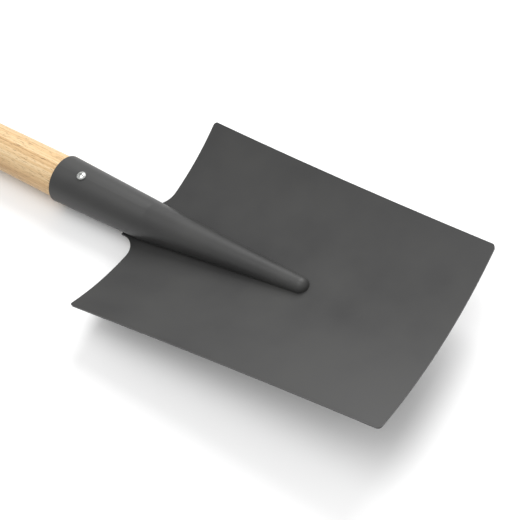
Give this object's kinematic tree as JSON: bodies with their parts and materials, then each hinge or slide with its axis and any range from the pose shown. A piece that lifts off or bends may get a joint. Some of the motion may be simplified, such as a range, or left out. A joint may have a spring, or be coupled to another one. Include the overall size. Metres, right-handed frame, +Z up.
{
  "type": "garden spade",
  "caption": "Garden digging spade with a dished square blade, a raised hollow nose and socket, a tapered round shaft and a D-shaped handle with a turned grip.",
  "frame": {"origin": "on the surface that the spade lies on, under the middle of its length and width", "axes": "+X runs along the shaft from the handle to the cutting edge, +Y runs across the blade and +Z is up, out of the blade's hollow side"},
  "size_m": [1, 0.1944, 0.068],
  "materials": {
    "black_powder_coat": "fine-textured matt powder coat",
    "ash": "sanded and oiled ash",
    "zinc_plated_steel": "bright zinc plate"
  },
  "bodies": {
    "root": {"head": "black_powder_coat", "shaft": "ash", "socket_screw": "zinc_plated_steel", "handle_yoke": "black_powder_coat", "ferrule_rivet": "zinc_plated_steel", "grip": "ash", "grip_bolt": "zinc_plated_steel", "grip_washers": "zinc_plated_steel", "grip_nut": "zinc_plated_steel"}
  },
  "joints": []
}
